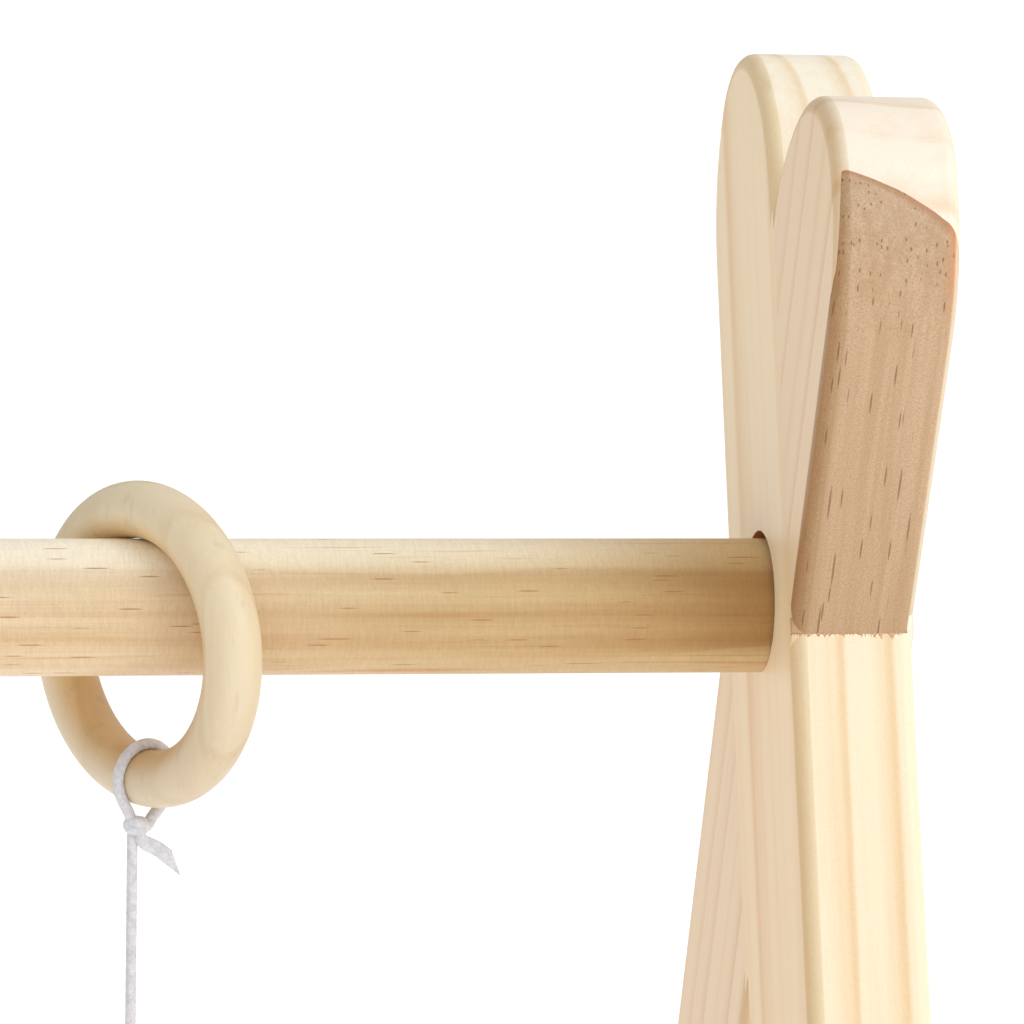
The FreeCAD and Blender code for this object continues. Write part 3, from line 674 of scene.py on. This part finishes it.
def strand_height(angle, twist):
    """Height 0..1 of the braid's skin where a tube's point has this angle and the strands this twist."""
    one = abs(math.sin(STRANDS / 4 * (angle + twist)))
    two = abs(math.sin(STRANDS / 4 * (angle - twist)))
    over = 0.5 + 0.5 * math.sin(STRANDS / 2 * angle) * math.sin(STRANDS / 2 * twist)
    return max(one * (1.0 - UNDER + UNDER * over), two * (1.0 - UNDER * over))


def braided_tube(line, size=None, facing=None, cut=0.0):
    """Vertices and faces of a tube whose skin is raised like a round braid.

    size(part) gives width and thickness factors along the tube, part running 0 to 1.  facing
    keeps the thickness towards one direction, as in a flat ribbon, and cut slants its last end.
    """
    vertices, faces = [], []
    side = Vector((1, 0, 0))
    travelled = 0.0
    total = sum((b - a).length for a, b in zip(line, line[1:]))
    for index, point in enumerate(line):
        before, after = line[max(index - 1, 0)], line[min(index + 1, len(line) - 1)]
        ahead = (after - before).normalized()
        if facing:
            side = ahead.cross(facing)
        side = (side - ahead * side.dot(ahead)).normalized()
        other = ahead.cross(side)
        if index:
            travelled += (point - line[index - 1]).length
        part = travelled / total
        wide, thick = size(part) if size else (1.0, 1.0)
        twist = 2 * math.pi * travelled / BRAID_PITCH
        cut_here = -cut * max(0.0, part - 1.0 + CUT_SHARE) / CUT_SHARE
        for step in range(AROUND):
            angle = 2 * math.pi * step / AROUND
            reach = CORD_RADIUS * (SKIN_LOW + SKIN_RISE * strand_height(angle, twist))
            spot = side * (reach * wide * math.cos(angle)) + other * (reach * thick * math.sin(angle))
            slant = cut_here * math.cos(angle) * CORD_RADIUS * wide
            vertices.append(point + spot + ahead * slant)
    rows = len(line)
    for row in range(rows - 1):
        for step in range(AROUND):
            a, b = row * AROUND + step, row * AROUND + (step + 1) % AROUND
            faces.append((a, b, b + AROUND, a + AROUND))
    for row, flip in ((0, True), (rows - 1, False)):
        centre = sum((vertices[row * AROUND + step] for step in range(AROUND)), Vector()) / AROUND
        vertices.append(centre)
        hub = len(vertices) - 1
        for step in range(AROUND):
            a, b = row * AROUND + step, row * AROUND + (step + 1) % AROUND
            faces.append((b, a, hub) if flip else (a, b, hub))
    return vertices, faces


def cotton_piece(name, tubes):
    """One cotton mesh object of several tubes."""
    vertices, faces = [], []
    for some_vertices, some_faces in tubes:
        start = len(vertices)
        vertices += [tuple(v) for v in some_vertices]
        faces += [tuple(start + index for index in face) for face in some_faces]
    mesh = bpy.data.meshes.new(name)
    mesh.from_pydata(vertices, [], faces)
    mesh.materials.append(COTTON)
    for polygon in mesh.polygons:
        polygon.use_smooth = True
    piece = bpy.data.objects.new(name, mesh)
    bpy.context.scene.collection.objects.link(piece)
    return piece


INTO_KNOT = 2.0 * MM  # how far the free cord runs into its stopper knot


def hanging_cord(station, loop):
    """The free cord: from inside the loop's knot straight down through the toys to the stopper knot."""
    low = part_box(f"cord_{station}")[0]
    top = PIVOT[f"swing_{station}"]
    bottom = Vector((top.x, top.y, low.z - INTO_KNOT))
    route = [top, top.lerp(bottom, 0.3), top.lerp(bottom, 0.7), bottom]
    line = along_route(route, 0.2 * MM)
    piece = cotton_piece(f"cotton_cord_{station}", [braided_tube(line)])
    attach(piece, f"pendant_{station}")
    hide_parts(f"cord_{station}")
    stopper = stopper_knot(station)


KNOT_TURNS = 2.0


def stopper_knot(station):
    """Stopper knot: the cord wound in an uneven helix, with a short end below."""
    low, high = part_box(f"end_knot_{station}")
    centre = (low + high) / 2
    span = (high.z - low.z) / 2 - CORD_RADIUS
    route = []
    steps = 20
    for step in range(steps + 1):
        part = step / steps
        angle = 2 * math.pi * KNOT_TURNS * part
        wide = span * (0.92 + 0.25 * math.sin(angle * 1.5))
        route.append(centre + Vector((wide * math.cos(angle), wide * 0.85 * math.sin(angle),
                                      span * (0.75 - 1.5 * part))))
    route.append(centre + Vector((0.4 * MM, 0.2 * MM, -span * 1.2)))
    piece = cotton_piece(f"stopper_knot_{station}", [braided_tube(along_route(route))])
    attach(piece, f"pendant_{station}")
    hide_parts(f"end_knot_{station}")
    return piece


LOOP_LIFT = 6.38 * MM  # radius of the loop's centre line round the ring's section
LOOP_ARC = range(215, -46, -26)  # degrees: from under one side of that section over its top to the other
# Millimetres from the knot's middle: where the loop sets off, its turns round itself, and the free end.
LOOP_START = (-0.3, -0.6, 2.0)
KNOT_WRAP = [(4.9, 1.6, 2.9), (3.6, 0.5, 1.7), (2.7, -0.5, 0.2), (1.1, -1.1, -0.5), (-0.5, -1.1, -0.2),
             (-0.8, -0.7, 0.6), (-0.2, -1.1, 1.3), (1.1, -1.4, 1.2), (2.2, -0.9, 0.8), (1.0, 0.2, 0.2)]
TAIL = [(1.0, -0.4, -0.2), (1.3, -0.7, -1.4), (1.7, -0.8, -2.5), (2.9, -0.8, -3.3), (4.4, -0.7, -3.9),
        (6.4, -0.6, -5.5), (8.0, -0.5, -6.8)]


def loop_size(part):
    """The cord bulges where it doubles back through the knot."""
    bulge = min(max((part - 0.62) / 0.08, 0.0), 1.0)
    return 1.04 + 0.06 * bulge, 1.04 + 0.06 * bulge


def tail_size(part):
    """The free end opens into a flat ribbon."""
    loose = min(max((part - 0.10) / 0.25, 0.0), 1.0)
    return 1.0 + 0.42 * loose, 1.0 - 0.40 * loose


def tied_loop(station):
    """Cord up one side of the ring's lowest section, over it, down, round itself, and the tail.

    The tail points along the bar, out of the way of a cord that swings across it.
    """
    foot = PIVOT[f"sway_{station}"]
    knot = PIVOT[f"swing_{station}"]
    yaw = RING_YAW[station]
    across = Vector((math.cos(yaw), math.sin(yaw), 0))
    up = Vector((0, 0, 1))
    turned = Matrix.Rotation(yaw - RING_YAW["right"], 3, "Z")
    route = [knot, knot + turned @ Vector(LOOP_START) * MM]
    for degrees in LOOP_ARC:
        angle = math.radians(degrees)
        route.append(foot + across * (LOOP_LIFT * math.cos(angle)) + up * (LOOP_LIFT * math.sin(angle)))
    route += [knot + turned @ Vector(spot) * MM for spot in KNOT_WRAP]
    loop = braided_tube(along_route(route), size=loop_size)
    ribbon = braided_tube(along_route([knot + Vector(spot) * MM for spot in TAIL]),
                          size=tail_size, facing=Vector((0, 1, 0)), cut=1.6)
    piece = cotton_piece(f"loop_and_tail_{station}", [loop, ribbon])
    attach(piece, f"loop_{station}")
    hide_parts(f"loop_knot_{station}")
    return piece


for station in STATIONS:
    hanging_cord(station, tied_loop(station))


# ---------------------------------------------------------------- floor and light
FLOOR_RADIUS = 190  # metres, so that its rim is out of sight


def floor():
    """A near-white ground that glows a little, as under a bright studio."""
    bpy.ops.mesh.primitive_circle_add(vertices=128, radius=FLOOR_RADIUS, fill_type="NGON",
                                      location=(0, 0, 0))
    ground = bpy.context.object
    ground.name = "floor"
    graph = Graph("pale_floor")
    cloud = graph.noise(graph.place(), 0.8, 2.0)
    colour = graph.mix(cloud, (0.90, 0.90, 0.90), (0.92, 0.92, 0.92))
    graph.shader.inputs["Emission Color"].default_value = (1, 1, 1, 1)
    graph.shader.inputs["Emission Strength"].default_value = 0.42
    ground.data.materials.append(graph.finish(colour, 0.9, Specular_IOR_Level=0.1))


SKY_SLOPE, SKY_LEVEL = (0.16, -0.07, 0.49), 0.46  # strength gained along x, y and z, and the middle one


def studio():
    """White surroundings, brighter overhead, on the right and a little in front."""
    world = bpy.data.worlds.new("studio")
    bpy.context.scene.world = world
    world.use_nodes = True
    tree = world.node_tree
    coordinates = tree.nodes.new("ShaderNodeTexCoord")
    toward = tree.nodes.new("ShaderNodeVectorMath")
    toward.operation = "DOT_PRODUCT"
    toward.inputs[1].default_value = SKY_SLOPE
    tree.links.new(coordinates.outputs["Generated"], toward.inputs[0])
    level = tree.nodes.new("ShaderNodeMath")
    level.operation = "ADD"
    level.inputs[1].default_value = SKY_LEVEL
    tree.links.new(toward.outputs["Value"], level.inputs[0])
    background = tree.nodes["Background"]
    background.inputs["Color"].default_value = (1, 1, 1, 1)
    tree.links.new(level.outputs[0], background.inputs["Strength"])


def area_light(name, position, target, size, power, colour):
    """Round lamp, size in metres and power in watts, aimed at a target and hidden from the camera."""
    lamp = bpy.data.lights.new(name, "AREA")
    lamp.shape = "DISK"
    lamp.size = size
    lamp.energy = power
    lamp.color = colour
    holder = bpy.data.objects.new(name, lamp)
    holder.location = position
    holder.rotation_euler = (Vector(target) - Vector(position)).to_track_quat("-Z", "Y").to_euler()
    holder.visible_camera = False
    bpy.context.scene.collection.objects.link(holder)


floor()
studio()
area_light("key", position=(1.6, -1.5, 1.5), target=(0.1, 0, 0.4), size=1.0, power=12.5,
           colour=(1.0, 0.985, 0.96))
bpy.context.scene.view_settings.view_transform = "Standard"
